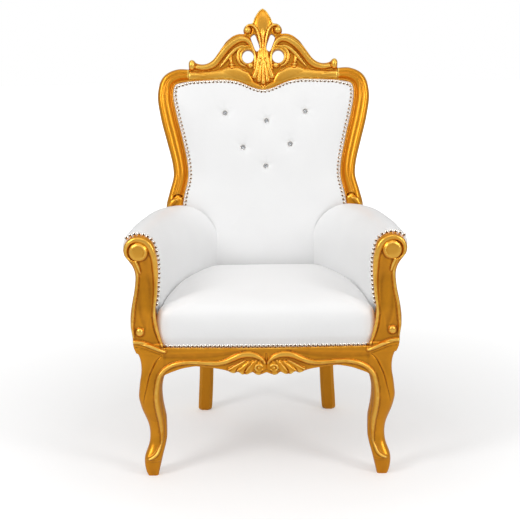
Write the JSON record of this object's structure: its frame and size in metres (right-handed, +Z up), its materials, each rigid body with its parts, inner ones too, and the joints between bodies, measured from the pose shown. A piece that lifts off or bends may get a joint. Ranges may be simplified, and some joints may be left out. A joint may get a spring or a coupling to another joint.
{
  "type": "throne",
  "caption": "High-backed carved and gilded wooden throne armchair with white padded seat, arms and buttoned back, nail-head trim and cabriole front legs.",
  "frame": {"origin": "on the floor, under the middle of the overall width and depth", "axes": "+Z up, -Y the way the sitter faces, +X to the right of someone looking at the front"},
  "size_m": [0.8, 0.7342, 1.3575],
  "materials": {
    "gilt_wood": "metallic gold paint on carved wood, satin with worn bright edges",
    "white_leather": "white leather-look cover, fine grain, soft sheen",
    "crystal": "faceted clear crystal with a silvered back",
    "nickel_nails": "polished nickel dome nail heads"
  },
  "bodies": {
    "root": {"front_leg_left": "gilt_wood", "front_leg_right": "gilt_wood", "arm_post_left": "gilt_wood", "arm_post_right": "gilt_wood", "rear_post_left": "gilt_wood", "rear_post_right": "gilt_wood", "side_rail_left": "gilt_wood", "side_rail_right": "gilt_wood", "front_rail": "gilt_wood", "rear_rail": "gilt_wood", "crest_rail": "gilt_wood", "seat_pad": "white_leather", "arm_pad_left": "white_leather", "arm_pad_right": "white_leather", "inside_back": "white_leather", "outside_back": "white_leather", "button_1": "crystal", "button_2": "crystal", "button_3": "crystal", "button_4": "crystal", "button_5": "crystal", "button_6": "crystal"}
  },
  "joints": []
}
